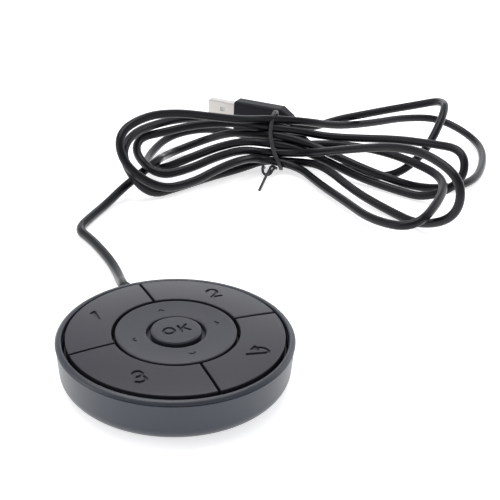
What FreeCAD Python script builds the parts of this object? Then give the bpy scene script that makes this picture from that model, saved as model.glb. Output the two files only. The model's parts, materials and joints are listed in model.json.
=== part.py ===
import FreeCAD, Part
import math
import os

# A round corded desk puck with four sector keys, a rocking navigation ring and an OK button,
# on a thin cable that ends in a tied hank and a USB plug. Millimetres, +Z up. The origin is
# the puck's centre on the surface that it stands on, and +Y points to the cable's exit.
V = FreeCAD.Vector
UP = V(0, 0, 1)
ORIGIN = V(0, 0, 0)
os.makedirs("parts", exist_ok=True)

# Clearances
SLIDE_FIT = 0.05
CATCH_GAP = 0.05
LOOSE = 0.2

# How far a joined piece runs into its neighbour of the same part
WELD = 0.2

# Case
CASE_R = 33.95
CASE_TOP = 13.0
CASE_BOTTOM = 0.6
WALL = 1.75
WALL_TAPER = 4.4
BASE_FILLET = 4.6
FLOOR_T = 2.2
QUARTERS = 4

# Rubber foot
FOOT_EDGE = 2.4
FOOT_INNER_R = 15.0
FOOT_SUNK = 0.8

# Bezel
BEZEL_OVER = 0.15
BEZEL_RISE = 1.1
BEZEL_LIP = 0.35
BEZEL_CREST_IN = 0.7
BEZEL_CREST_DOWN = 0.14
BEZEL_INNER_FLAT = 0.75
BEZEL_INNER_DROP = 0.4
BEZEL_TONGUE = 1.2
SHADOW_GAP = 0.3

# Sector keys
KEY_GROOVE = 1.0
KEY_INNER_R = 18.3
KEY_PROUD = 0.35
KEY_FALL = 0.75
KEY_CROWN = 0.12
KEY_SPLIT = 0.75
KEY_SKIN = 1.5
KEY_SKIRT_T = 1.0
KEY_SKIRT_H = 2.85
KEY_EDGE = 0.3
KEY_RIB_T = 0.8
KEY_RIB_UP = 0.4
KEY_SWITCH_OUT = 0.55
GUIDE_PIN_R = 1.1
GUIDE_OUT = 0.25
GUIDE_AT_DEG = 25.0
GUIDE_BELOW = 0.3
HOOK_T = 1.0
HOOK_W = 2.6
HOOK_BARB = 0.6
HOOK_BARB_H = 0.9
HOOK_BARB_LIP = 0.25
HOOK_FROM_INNER = 1.1
HOOK_FROM_OUTER = 1.8
HOOK_AT_DEG = 26.0

# Navigation ring
NAV_GROOVE = 0.95
NAV_BELOW_KEYS = 0.05
NAV_DISH = 0.28
NAV_SKIN = 1.2
NAV_SKIRT_H = 2.85
NAV_EDGE = 0.45
NAV_AT_R = 12.5
NAV_POST_R = 1.2
NAV_PIP_GAP = 0.03
NAV_WALL_OUT = 2.3
NAV_WALL_T = 1.4
HUB_DOWN = 3.05
HUB_T = 1.3
HUB_GAP = 0.5
STAKE_R = 0.5

# Gimbal
GIMBAL_GAP = 1.0
GIMBAL_W = 1.5
GIMBAL_H = 1.2
PIVOT_PIN_R = 0.35
PIVOT_PIN_IN_HUB = 1.3

# OK button
OK_R = 7.3
OK_GROOVE = 1.2
OK_PROUD = 0.4
OK_DOME = 0.25
OK_EDGE = 0.7
OK_SKIN = 1.5
OK_SKIRT_T = 1.1
OK_FLANGE_CATCH = 0.5
OK_FLANGE_GAP = 0.32
OK_FLANGE_T = 0.4
OK_PLUNGER_R = 2.5
OK_FIN_W = 0.9
OK_FIN_OUT = 0.8

# Key frame
FRAME_BELOW_HUB = 0.4
FRAME_T = 1.2
FRAME_EDGE_GAP = 0.35
TUBE_R = 4.5
TUBE_OVER_PIVOT = 0.85
POST_R = 2.5
RIB_T = 1.2
RIB_REACH = 2.6
RIB_AT_DEG = (30.0, 60.0)

# Circuit board and what is on it
BOARD_T = 1.2
BOARD_EDGE_GAP = 3.25
BOARD_NOTCH_W = 13.0
BOARD_NOTCH_AFTER = 1.1
SWITCH_SIDE = 4.5
SWITCH_H = 2.1
SWITCH_CORNER = 0.4
STEM_R = 1.1
PLUNGER_R = 1.5
STEM_BELOW_FRAME = 0.4
STEM_SHOWS = 0.9
STEM_BORE_DEPTH = 1.2
STEM_SOCKET_GAP = 0.6
CHIP_SIDE = 5.0
CHIP_H = 0.9
CHIP_FROM_EDGE = 5.3
CHIP_AT_DEG = -108.75
HEADER_W = 7.6
HEADER_D = 3.0
HEADER_H = 2.5
HEADER_GAP = 1.15
LEAD_WIRE_R = 0.4
LEAD_PITCH = 1.2
LEAD_COUNT = 5
LEAD_STRAIGHT = 0.8
LEAD_GATHER = 0.42

# Screws
SCREW_FROM_SWITCH = 5.3
SCREW_R = 1.0
SCREW_HEAD_R = 1.9
SCREW_HEAD_H = 1.2
SCREW_LENGTH = 5.2
SCREW_SEAT_UP = 0.2
SCREW_HOLE_GAP = 0.15
BOSS_IN_BOARD = 0.4
BOSS_R = 2.9
SOCKET_W = 1.3
SOCKET_SLOT = 0.35
SOCKET_DEPTH = 0.6
BOARD_SCREW_R = 0.8
BOARD_SCREW_HEAD_R = 1.6
BOARD_SCREW_HEAD_H = 0.9
BOARD_SCREW_LENGTH = 2.6
BOARD_SCREWS = (0.0, 180.0, 270.0)

# Cable exit and clamp
CABLE_D = 3.5
EXIT_Z = 5.3
EXIT_BORE_R = 2.6
RELIEF_FLANGE_R = 3.7
RELIEF_FLANGE_T = 1.3
RELIEF_COLLAR_T = 1.2
RELIEF_BOOT_R = 3.1
RELIEF_END_R = 2.3
RELIEF_LENGTH = 13.0
RELIEF_RIBS = 4
RELIEF_RIB_W = 0.8
RELIEF_SPINE = 0.9
LEAD_FAN = 3.5
CLAMP_BACK = 0.8
CLAMP_D = 3.2
CLAMP_W = 12.0
CLAMP_T = 1.6
CLAMP_RISE = 0.8
CLAMP_EDGE = 0.5
CLAMP_SCREW_X = 4.2

# Cable's free stretch on the surface, between its ends at the strain relief and the hank
RUN_SHARE = 0.45
LEAD_ROUTE = [
    (0.0, 52.0, EXIT_Z), (2.8, 62.0, 2.3), (3.9, 71.0, 1.8), (3.3, 81.5, 1.8), (2.3, 92.5, 1.8),
    (0.2, 102.1, 1.8), (8.8, 111.8, 1.8), (17.0, 120.2, 1.8), (28.4, 129.1, 5.1),
    (45.2, 134.5, 12.5), (51.3, 151.2, 5.5), (61.2, 164.5, 1.9), (77.6, 164.5, 6.2),
]
LEAD_END_RUN = 9.9

# Hank: the place and heading of its waist, and the slots that its strands take through it
HANK_X = 99.35
HANK_Y = 133.08
HANK_HEADING = -33.5
SLOT_COUNT = 9
SLOT_STEP = 2.16
SLOT_HALF = 1.75
SLOT_LEAN = 46.0
SLOT_BACK = -0.8
SLOT_LOW = 3.2
FLOOR_LIE = 2.1
FLOOR_SOFT = 1.2
LEAD_IN_SLOT = 5
LEAD_IN_RUN = 12.0
LOOP_NODES = (1 / 5, 1 / 3, 1 / 2, 2 / 3, 4 / 5)
LOOP_STEP = 0.001

# Each half loop: side (1 right, -1 left), slot that it leaves, slot that it enters (None ends
# at the plug), 1 where it goes out high or -1 low, reach, spread of the run out and of the run
# back, yaw in degrees, curl of the tip, roll in degrees, height of the tip, and the rise of
# the run out and of the run back
HALF_LOOPS = [
    (1, 5, 8, -1, 92.7, 36.6, 30.2, 5.2, 27.8, 10.7, -1, 2.8, -3.7),
    (-1, 8, 0, 1, 76.8, 12, 22.3, -32.5, -14.3, 38.1, 20.4, 2.7, 7.3),
    (1, 0, 4, -1, 71.9, 41.9, 11.2, -5.6, -23.5, 1.8, 9.1, -2.2, -0.4),
    (-1, 4, 3, 1, 57.3, 20.9, 24.4, -1.4, -5.4, 6.9, -0.7, 1.1, 9.4),
    (1, 3, 6, -1, 74.4, 19.5, 3.4, 9.1, -30.8, 43.8, 12.1, -0.6, 3.8),
    (-1, 6, 2, 1, 63.4, 4.9, 21.1, -17.4, -6.8, 33.9, 9.8, 3.3, 9.1),
    (1, 2, 1, 1, 92, 11.9, 21.3, -25.5, -21.5, 76.3, 16, 1.7, 9.6),
    (-1, 1, 7, -1, 65, 18, 19.1, -8.4, -35.4, 19.3, 15.2, -13, 0.1),
    (1, 7, None, -1, 66.5, 22.8, 3, 7.5, -6.9, 9.5, 25, -17.8, -1.8),
]

# Tie: a band round the waist, its front drawn towards the puck, and the end of its wire with
# one curl, in the hank's axes
TIE_W = 1.8
TIE_T = 1.1
TIE_GAP = 0.6
TIE_AT = -0.6
TIE_LEAN = 35.0
TIE_SLEEVE = 60.0
TIE_EDGE = 0.3
TIE_WIRE_R = 0.6
CURL_AT = (-3.8, -8.8, 3.3)
CURL_R = 2.1
CURL_PITCH = 1.5
CURL_TILT = 27.0
CURL_NODES = (180, 270, 360, 450, 495)
TAIL_START = (-0.3, -3.7, 2.7)
TAIL_START_WAY = (-1.0, -1.0, 0.1)
TAIL_TIP = (-4.8, -25.1, 0.65)

# USB plug, standing on its narrow edge
PLUG_X = 122.06
PLUG_Y = 164.81
PLUG_HEADING = 129.8
PLUG_LENGTH = 29.0
PLUG_H = 15.5
PLUG_T = 8.0
PLUG_CORNER = 1.6
PLUG_EDGE = 0.8
PLUG_BEVEL = 5.5
PLUG_NOSE_H = 9.0
PLUG_NOSE_T = 6.0
SHELL_W = 12.0
SHELL_T = 4.5
SHELL_CORNER = 0.6
SHELL_SKIN = 0.3
SHELL_LENGTH = 14.0
SHELL_SUNK = 4.0
WINDOW_SIDE = 2.2
WINDOW_APART = 5.0
WINDOW_AT = 6.5
TONGUE_T = 1.9
TONGUE_BACK = 0.8
CONTACT_W = 1.2
CONTACT_T = 0.25
CONTACT_PITCH = 2.3
CONTACT_COUNT = 4
CONTACT_BACK = 1.0


def ring(r_in, r_out, z0, z1):
    """A plain washer from z0 to z1."""
    body = Part.makeCylinder(r_out, z1 - z0, V(0, 0, z0))
    if r_in > 0:
        body = body.cut(Part.makeCylinder(r_in, z1 - z0, V(0, 0, z0)))
    return body


def at(radius, degrees, z=0.0):
    """A point by radius and bearing, counted from +X."""
    a = math.radians(degrees)
    return V(radius * math.cos(a), radius * math.sin(a), z)


def turned(shape, degrees):
    """The shape turned about the puck's axis."""
    copy = shape.copy()
    copy.rotate(ORIGIN, UP, degrees)
    return copy


def box(x0, x1, y0, y1, z0, z1):
    """A box between two corners."""
    return Part.makeBox(x1 - x0, y1 - y0, z1 - z0, V(x0, y0, z0))


def lathe(edges):
    """A solid turned from a closed outline in the XZ plane."""
    face = Part.Face(Part.Wire(edges))
    return face.revolve(ORIGIN, UP, 360)


def line(a, b):
    return Part.makeLine(V(a[0], 0, a[1]), V(b[0], 0, b[1]))


def arc(a, m, b):
    return Part.Arc(V(a[0], 0, a[1]), V(m[0], 0, m[1]), V(b[0], 0, b[1])).toShape()


def rounded(shape, radius, keep):
    """Fillets on the edges that the test picks."""
    edges = [e for e in shape.Edges if keep(e)]
    return shape.makeFillet(radius, edges)


def save(name, shape):
    """One STEP file for a node, with its volume and box printed."""
    if shape.ShapeType == "Compound" and len(shape.Solids) == 1:
        shape = shape.Solids[0]
    shape.exportStep("parts/" + name + ".step")
    b = shape.BoundBox
    print("%-16s %2d solids %9.2f mm3  x %.1f..%.1f  y %.1f..%.1f  z %.2f..%.2f" % (
        name, len(shape.Solids), shape.Volume, b.XMin, b.XMax, b.YMin, b.YMax, b.ZMin, b.ZMax))


def wall_r(z):
    """The case's outer radius on the tapered wall."""
    return CASE_R - math.tan(math.radians(WALL_TAPER)) * (CASE_TOP - z)


# Heights that follow, from the case's rim up to the keys and down to the board
BEZEL_TOP = CASE_TOP + BEZEL_RISE
KEY_TOP_OUT = BEZEL_TOP + KEY_PROUD
KEY_TOP_IN = KEY_TOP_OUT + KEY_FALL
KEY_SKIRT_Z = KEY_TOP_OUT - KEY_SKIRT_H
NAV_TOP = KEY_TOP_IN - NAV_BELOW_KEYS
NAV_UNDER = NAV_TOP - NAV_DISH - NAV_SKIN
NAV_SKIRT_Z = NAV_TOP - NAV_SKIRT_H
OK_TOP = NAV_TOP + OK_PROUD
OK_FLANGE_Z = NAV_UNDER - OK_FLANGE_GAP - OK_FLANGE_T
HUB_TOP = NAV_TOP - HUB_DOWN
PIVOT_Z = HUB_TOP - HUB_T / 2
TUBE_TOP = PIVOT_Z + TUBE_OVER_PIVOT
FRAME_TOP = HUB_TOP - HUB_T - FRAME_BELOW_HUB
FRAME_Z = FRAME_TOP - FRAME_T
STEM_TOP = FRAME_Z - STEM_BELOW_FRAME
BOARD_TOP = STEM_TOP - STEM_SHOWS - SWITCH_H
BOARD_Z = BOARD_TOP - BOARD_T
BOSS_TOP = BOARD_Z + BOSS_IN_BOARD
FLOOR_Z = CASE_BOTTOM + FLOOR_T
SCREW_SEAT_Z = FLOOR_Z + SCREW_SEAT_UP

# Radii and places that follow
BEZEL_R = CASE_R + BEZEL_OVER
RIM_IN_R = CASE_R - WALL
KEY_OUTER_R = RIM_IN_R - KEY_GROOVE
KEY_MID_R = (KEY_INNER_R + KEY_OUTER_R) / 2
HOOK_INNER_R = KEY_INNER_R + HOOK_FROM_INNER
HOOK_OUTER_R = KEY_OUTER_R - HOOK_FROM_OUTER
GUIDE_AT_R = KEY_MID_R + GUIDE_OUT
KEY_SWITCH_R = KEY_MID_R + KEY_SWITCH_OUT
SCREW_AT_R = KEY_SWITCH_R - SCREW_FROM_SWITCH
NAV_R = KEY_INNER_R - NAV_GROOVE
NAV_HOLE_R = OK_R + OK_GROOVE
NAV_WALL_R = NAV_HOLE_R + NAV_WALL_OUT
OK_FLANGE_R = NAV_HOLE_R + OK_FLANGE_CATCH
GIMBAL_INNER_R = TUBE_R + GIMBAL_GAP
GIMBAL_OUTER_R = GIMBAL_INNER_R + GIMBAL_W
HUB_INNER_R = GIMBAL_OUTER_R + HUB_GAP
PIVOT_PIN_END = HUB_INNER_R + PIVOT_PIN_IN_HUB
BOARD_R = wall_r(BOARD_Z) - WALL - BOARD_EDGE_GAP
FOOT_OUTER_R = wall_r(CASE_BOTTOM) - BASE_FILLET - FOOT_EDGE
HEADER_Y = NAV_AT_R + SWITCH_SIDE / 2 + HEADER_GAP + HEADER_D / 2
BOARD_NOTCH_Y = HEADER_Y + HEADER_D / 2 + BOARD_NOTCH_AFTER
INNER_CABLE_Y = HEADER_Y + HEADER_D / 2 + LEAD_FAN


def key_top(r):
    """Height of the crowned key plane at a radius."""
    t = (r - KEY_INNER_R) / (KEY_OUTER_R - KEY_INNER_R)
    return KEY_TOP_IN + (KEY_TOP_OUT - KEY_TOP_IN) * t + 4 * KEY_CROWN * t * (1 - t)


# Case and foot
def bowl(inset, z0, z1, fillet):
    """The case's bowl shape, drawn in by an inset, as a solid of revolution."""
    r1 = wall_r(z1) - inset
    r0 = wall_r(z0) - inset
    body = Part.makeCone(r0, r1, z1 - z0, V(0, 0, z0))
    return rounded(body, fillet, lambda e: e.BoundBox.ZMax < z0 + 0.01)


def along_y(radius, y0, y1):
    """A cylinder along the cable's exit."""
    return Part.makeCylinder(radius, y1 - y0, V(0, y0, EXIT_Z), V(0, 1, 0))


def screw_bearings():
    return [45.0 + 90.0 * i for i in range(QUARTERS)]


def lower_case():
    body = bowl(0.0, CASE_BOTTOM, CASE_TOP, BASE_FILLET)
    body = body.cut(bowl(WALL, FLOOR_Z, CASE_TOP, BASE_FILLET - WALL))
    # support ribs under the key frame, standing on the floor against the wall
    inner = bowl(WALL, FLOOR_Z, CASE_TOP, BASE_FILLET - WALL)
    rib = box(wall_r(FRAME_Z) - WALL - RIB_REACH, CASE_R, -RIB_T / 2, RIB_T / 2, FLOOR_Z, FRAME_Z)
    ribs = []
    for quarter in range(QUARTERS):
        for deg in RIB_AT_DEG:
            ribs.append(turned(rib, deg + 90.0 * quarter).common(inner))
    body = body.fuse(ribs)
    # screw bosses with a counterbore from below
    for deg in screw_bearings():
        p = at(SCREW_AT_R, deg)
        body = body.fuse(Part.makeCylinder(BOSS_R, BOSS_TOP - FLOOR_Z, V(p.x, p.y, FLOOR_Z)))
        bore_r = SCREW_R + SCREW_HOLE_GAP
        body = body.cut(Part.makeCylinder(bore_r, BOSS_TOP, V(p.x, p.y, 0)))
        head_r = SCREW_HEAD_R + LOOSE
        body = body.cut(Part.makeCylinder(head_r, SCREW_SEAT_Z, V(p.x, p.y, 0)))
    # stand-offs for the circuit board
    for deg in BOARD_SCREWS:
        p = at(SCREW_AT_R, deg)
        body = body.fuse(Part.makeCylinder(POST_R, BOARD_Z - FLOOR_Z, V(p.x, p.y, FLOOR_Z)))
        depth = BOARD_SCREW_LENGTH - BOARD_T
        body = body.cut(Part.makeCylinder(BOARD_SCREW_R, depth, V(p.x, p.y, BOARD_Z - depth)))
    # recess for the foot
    body = body.cut(ring(FOOT_INNER_R, FOOT_OUTER_R, CASE_BOTTOM, CASE_BOTTOM + FOOT_SUNK))
    # step for the bezel's tongue, and the shadow gap's chamfer
    step_r = (CASE_R + RIM_IN_R) / 2
    body = body.cut(ring(0, step_r, CASE_TOP - BEZEL_TONGUE, CASE_TOP))
    chamfer = ring(CASE_R - SHADOW_GAP, CASE_R + 1, CASE_TOP - SHADOW_GAP, CASE_TOP + 1)
    cone = Part.makeCone(CASE_R, CASE_R - SHADOW_GAP, SHADOW_GAP, V(0, 0, CASE_TOP - SHADOW_GAP))
    body = body.cut(chamfer.cut(cone))
    # saddle under the inner cable, and its two screw holes
    half = CLAMP_W / 2
    y0 = clamp_y() - CLAMP_D / 2
    body = body.fuse(box(-half, half, y0, y0 + CLAMP_D, FLOOR_Z, EXIT_Z))
    for x in (-CLAMP_SCREW_X, CLAMP_SCREW_X):
        depth = BOARD_SCREW_LENGTH - CLAMP_T
        body = body.cut(Part.makeCylinder(BOARD_SCREW_R, depth, V(x, clamp_y(), EXIT_Z - depth)))
    # port for the strain relief, and the cable's channel through the saddle
    body = body.cut(along_y(EXIT_BORE_R, relief_inner_y(), CASE_R + 1))
    body = body.cut(along_y(CABLE_D / 2, y0 - 1, y0 + CLAMP_D + 1))
    return body.removeSplitter()


def foot_ring():
    return rounded(ring(FOOT_INNER_R, FOOT_OUTER_R, 0, CASE_BOTTOM + FOOT_SUNK), 0.25,
                   lambda e: e.BoundBox.ZMax < 0.01)


def rim_bezel():
    step_r = (CASE_R + RIM_IN_R) / 2
    low = CASE_TOP - BEZEL_TONGUE
    lip = CASE_TOP + SHADOW_GAP
    crest = (BEZEL_R - BEZEL_CREST_IN, BEZEL_TOP - BEZEL_CREST_DOWN)
    inner = RIM_IN_R + BEZEL_INNER_FLAT
    turn = (RIM_IN_R + BEZEL_INNER_DROP / 2, BEZEL_TOP - BEZEL_INNER_DROP / 4)
    edge = (RIM_IN_R, BEZEL_TOP - BEZEL_INNER_DROP)
    edges = [
        line((RIM_IN_R, low), (step_r, low)),
        line((step_r, low), (step_r, CASE_TOP)),
        line((step_r, CASE_TOP), (BEZEL_R - BEZEL_LIP, CASE_TOP)),
        line((BEZEL_R - BEZEL_LIP, CASE_TOP), (BEZEL_R, lip)),
        arc((BEZEL_R, lip), crest, (inner, BEZEL_TOP)),
        arc((inner, BEZEL_TOP), turn, edge),
        line(edge, (RIM_IN_R, low)),
    ]
    return lathe(edges)


# Sector keys
def quadrant(inset):
    """The first quarter of the disc, drawn in from the two splits."""
    size = CASE_R + 1
    return box(inset, size, inset, size, 0, KEY_TOP_IN + 2)


def key_body():
    skin = [
        line((KEY_INNER_R, KEY_SKIRT_Z), (KEY_OUTER_R, KEY_SKIRT_Z)),
        line((KEY_OUTER_R, KEY_SKIRT_Z), (KEY_OUTER_R, KEY_TOP_OUT)),
        arc((KEY_OUTER_R, KEY_TOP_OUT), (KEY_MID_R, key_top(KEY_MID_R)), (KEY_INNER_R, KEY_TOP_IN)),
        line((KEY_INNER_R, KEY_TOP_IN), (KEY_INNER_R, KEY_SKIRT_Z)),
    ]
    body = lathe(skin).common(quadrant(KEY_SPLIT / 2))
    body = rounded(body, KEY_EDGE, lambda e: e.BoundBox.ZMin > KEY_SKIRT_Z + 1)
    r_in = KEY_INNER_R + KEY_SKIRT_T
    r_out = KEY_OUTER_R - KEY_SKIRT_T
    pocket = [
        line((r_in, 0), (r_out, 0)),
        line((r_out, 0), (r_out, key_top(r_out) - KEY_SKIN)),
        line((r_out, key_top(r_out) - KEY_SKIN), (r_in, key_top(r_in) - KEY_SKIN)),
        line((r_in, key_top(r_in) - KEY_SKIN), (r_in, 0)),
    ]
    return body.cut(lathe(pocket).common(quadrant(KEY_SPLIT / 2 + KEY_SKIRT_T)))


def hook(radius, degrees, outward):
    """A snap hook that reaches through the key frame and catches under it."""
    leg_in = -HOOK_T / 2
    leg_out = HOOK_T / 2
    low = FRAME_Z - CATCH_GAP - HOOK_BARB_H
    catch = FRAME_Z - CATCH_GAP
    tip = leg_out + HOOK_BARB
    top = key_top(radius) - KEY_SKIN + WELD
    points = [(leg_in, low), (leg_out, low), (tip, catch - HOOK_BARB_LIP), (tip, catch),
              (leg_out, catch), (leg_out, top), (leg_in, top)]
    wire = Part.makePolygon([V(x, -HOOK_W / 2, z) for x, z in points + points[:1]])
    leg = Part.Face(wire).extrude(V(0, HOOK_W, 0))
    if not outward:
        leg.rotate(ORIGIN, UP, 180)
    leg.translate(V(radius, 0, 0))
    return turned(leg, degrees)


def hook_slot(radius, degrees, outward):
    """The slot in the key frame that the hook is pushed through."""
    barb_side = HOOK_T / 2 + CATCH_GAP * 2
    back = HOOK_T / 2 + LOOSE
    lo, hi = (-back, barb_side) if outward else (-barb_side, back)
    side = HOOK_W / 2 + LOOSE
    return turned(box(radius + lo, radius + hi, -side, side, FRAME_Z - 1, FRAME_TOP + 1), degrees)


def hook_places():
    """Radius, bearing within the quarter, and the side that the barb points to."""
    return [(HOOK_INNER_R, 45.0 - HOOK_AT_DEG, True), (HOOK_INNER_R, 45.0 + HOOK_AT_DEG, True),
            (HOOK_OUTER_R, 45.0 - HOOK_AT_DEG, False), (HOOK_OUTER_R, 45.0 + HOOK_AT_DEG, False)]


def guide_places():
    return [(GUIDE_AT_R, 45.0 - GUIDE_AT_DEG), (GUIDE_AT_R, 45.0 + GUIDE_AT_DEG)]


def key():
    """A sector key in the first quarter, with its plunger, guide pins and hooks."""
    body = key_body()
    adds = []
    for radius, deg, outward in hook_places():
        adds.append(hook(radius, deg, outward))
    for radius, deg in guide_places():
        low = FRAME_Z - GUIDE_BELOW
        height = key_top(radius) - KEY_SKIN + WELD - low
        adds.append(Part.makeCylinder(GUIDE_PIN_R, height, at(radius, deg, low)))
    height = key_top(KEY_SWITCH_R) - KEY_SKIN + WELD - STEM_TOP
    adds.append(Part.makeCylinder(PLUNGER_R, height, at(KEY_SWITCH_R, 45.0, STEM_TOP)))
    # stiffening rib along the middle of the key's underside
    inner = KEY_MID_R - KEY_RIB_T / 2
    under = key_top(KEY_OUTER_R) - KEY_SKIN
    span = ring(inner, inner + KEY_RIB_T, KEY_SKIRT_Z + KEY_RIB_UP, under + WELD)
    adds.append(span.common(quadrant(KEY_SPLIT / 2 + KEY_SKIRT_T / 2)))
    return body.fuse(adds).removeSplitter()


# Navigation ring, hub and gimbal
def nav_ring():
    r_mid = (NAV_HOLE_R + NAV_R) / 2
    low_top = NAV_TOP - NAV_DISH
    under = NAV_UNDER
    edges = [
        line((NAV_HOLE_R, under), (NAV_WALL_R - NAV_WALL_T, under)),
        line((NAV_WALL_R - NAV_WALL_T, under), (NAV_WALL_R - NAV_WALL_T, HUB_TOP)),
        line((NAV_WALL_R - NAV_WALL_T, HUB_TOP), (NAV_WALL_R, HUB_TOP)),
        line((NAV_WALL_R, HUB_TOP), (NAV_WALL_R, under)),
        line((NAV_WALL_R, under), (NAV_R - KEY_SKIRT_T, under)),
        line((NAV_R - KEY_SKIRT_T, under), (NAV_R - KEY_SKIRT_T, NAV_SKIRT_Z)),
        line((NAV_R - KEY_SKIRT_T, NAV_SKIRT_Z), (NAV_R, NAV_SKIRT_Z)),
        line((NAV_R, NAV_SKIRT_Z), (NAV_R, NAV_TOP)),
        arc((NAV_R, NAV_TOP), (r_mid, NAV_TOP - NAV_DISH * 0.72), (NAV_HOLE_R, low_top)),
        line((NAV_HOLE_R, low_top), (NAV_HOLE_R, under)),
    ]
    body = lathe(edges)
    body = rounded(body, NAV_EDGE, lambda e: e.BoundBox.ZMin > low_top - 0.01)
    adds = []
    pip = STEM_TOP + NAV_PIP_GAP
    for i in range(QUARTERS):
        p = at(NAV_AT_R, 90.0 * i)
        base = V(p.x, p.y, pip + NAV_POST_R)
        post = Part.makeCylinder(NAV_POST_R, under + WELD - base.z, base)
        adds.append(post.fuse(Part.makeSphere(NAV_POST_R, base)))
        s = at(NAV_WALL_R - NAV_WALL_T / 2, 45.0 + 90.0 * i, HUB_TOP - HUB_T)
        adds.append(Part.makeCylinder(STAKE_R, HUB_T + WELD, s))
    return body.fuse(adds).removeSplitter()


def cross_pin(radius, length_from, length_to, along):
    """A pin along one horizontal axis through the pivot's centre, on both sides."""
    pins = []
    for side in (-1, 1):
        start = along * (side * length_from)
        start = start + V(0, 0, PIVOT_Z)
        pins.append(Part.makeCylinder(radius, length_to - length_from, start, along * side))
    return pins


def nav_hub():
    body = ring(HUB_INNER_R, NAV_WALL_R, HUB_TOP - HUB_T, HUB_TOP)
    for i in range(QUARTERS):
        s = at(NAV_WALL_R - NAV_WALL_T / 2, 45.0 + 90.0 * i, 0)
        body = body.cut(Part.makeCylinder(STAKE_R, KEY_TOP_IN, s))
    return body.cut(cross_pin(PIVOT_PIN_R + SLIDE_FIT, HUB_INNER_R - 1, PIVOT_PIN_END + LOOSE, V(0, 1, 0)))


def nav_gimbal():
    low = PIVOT_Z - GIMBAL_H / 2
    body = ring(GIMBAL_INNER_R, GIMBAL_OUTER_R, low, low + GIMBAL_H)
    body = body.fuse(cross_pin(PIVOT_PIN_R, GIMBAL_OUTER_R - WELD, PIVOT_PIN_END, V(0, 1, 0)))
    bores = cross_pin(PIVOT_PIN_R + SLIDE_FIT, GIMBAL_INNER_R - 1, GIMBAL_OUTER_R + 1, V(1, 0, 0))
    return body.cut(bores)


# OK button
def ok_button():
    cap_r = OK_R - OK_SKIRT_T
    under = OK_TOP - OK_SKIN
    flange_top = OK_FLANGE_Z + OK_FLANGE_T
    edges = [
        line((0, STEM_TOP), (OK_PLUNGER_R, STEM_TOP)),
        line((OK_PLUNGER_R, STEM_TOP), (OK_PLUNGER_R, under)),
        line((OK_PLUNGER_R, under), (cap_r, under)),
        line((cap_r, under), (cap_r, OK_FLANGE_Z)),
        line((cap_r, OK_FLANGE_Z), (OK_FLANGE_R, OK_FLANGE_Z)),
        line((OK_FLANGE_R, OK_FLANGE_Z), (OK_FLANGE_R, flange_top)),
        line((OK_FLANGE_R, flange_top), (OK_R, flange_top)),
        line((OK_R, flange_top), (OK_R, OK_TOP - OK_EDGE)),
        arc((OK_R, OK_TOP - OK_EDGE), (OK_R - 0.3 * OK_EDGE, OK_TOP - 0.25 * OK_EDGE),
            (OK_R - OK_EDGE, OK_TOP)),
        line((OK_R - OK_EDGE, OK_TOP), (0, OK_TOP)),
        line((0, OK_TOP), (0, STEM_TOP)),
    ]
    body = lathe(edges)
    fin = box(-OK_FIN_W / 2, OK_FIN_W / 2, 0, OK_PLUNGER_R + OK_FIN_OUT, FRAME_Z, under + WELD)
    return body.fuse(fin).removeSplitter()


# Key frame
def key_frame():
    body = ring(0, wall_r(FRAME_Z) - WALL - FRAME_EDGE_GAP, FRAME_Z, FRAME_TOP)
    body = body.fuse(ring(0, TUBE_R, FRAME_Z, TUBE_TOP))
    for deg in screw_bearings():
        body = body.fuse(Part.makeCylinder(POST_R, FRAME_Z - BOSS_TOP, at(SCREW_AT_R, deg, BOSS_TOP)))
    body = body.fuse(cross_pin(PIVOT_PIN_R, TUBE_R - WELD, GIMBAL_OUTER_R, V(1, 0, 0)))
    cuts = [Part.makeCylinder(OK_PLUNGER_R + SLIDE_FIT, TUBE_TOP, ORIGIN)]
    slot = OK_FIN_W / 2 + SLIDE_FIT * 2
    slot_end = OK_PLUNGER_R + OK_FIN_OUT + SLIDE_FIT * 2
    cuts.append(box(-slot, slot, 0, slot_end, FRAME_Z - 1, TUBE_TOP + 1))
    for q in range(QUARTERS):
        for radius, deg, outward in hook_places():
            cuts.append(hook_slot(radius, deg + 90.0 * q, outward))
        for radius, deg in guide_places():
            p = at(radius, deg + 90.0 * q, FRAME_Z - 1)
            cuts.append(Part.makeCylinder(GUIDE_PIN_R + SLIDE_FIT, FRAME_T + 2, p))
        p = at(KEY_SWITCH_R, 45.0 + 90.0 * q, FRAME_Z - 1)
        cuts.append(Part.makeCylinder(PLUNGER_R + LOOSE, FRAME_T + 2, p))
        p = at(NAV_AT_R, 90.0 * q, FRAME_Z - 1)
        cuts.append(Part.makeCylinder(NAV_POST_R + LOOSE * 2, FRAME_T + 2, p))
        depth = SCREW_SEAT_Z + SCREW_LENGTH - BOSS_TOP
        cuts.append(Part.makeCylinder(SCREW_R, depth, at(SCREW_AT_R, 45.0 + 90.0 * q, BOSS_TOP)))
    return body.cut(cuts).removeSplitter()


# Circuit board, switches and wiring
def circuit_board():
    body = ring(0, BOARD_R, BOARD_Z, BOARD_TOP)
    half = BOARD_NOTCH_W / 2
    cuts = [box(-half, half, BOARD_NOTCH_Y, CASE_R, BOARD_Z - 1, BOARD_TOP + 1)]
    for deg in screw_bearings():
        cuts.append(Part.makeCylinder(BOSS_R + LOOSE, BOARD_T + 2, at(SCREW_AT_R, deg, BOARD_Z - 1)))
    for deg in BOARD_SCREWS:
        cuts.append(Part.makeCylinder(BOARD_SCREW_R, BOARD_T + 2, at(SCREW_AT_R, deg, BOARD_Z - 1)))
    return body.cut(cuts)


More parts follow.
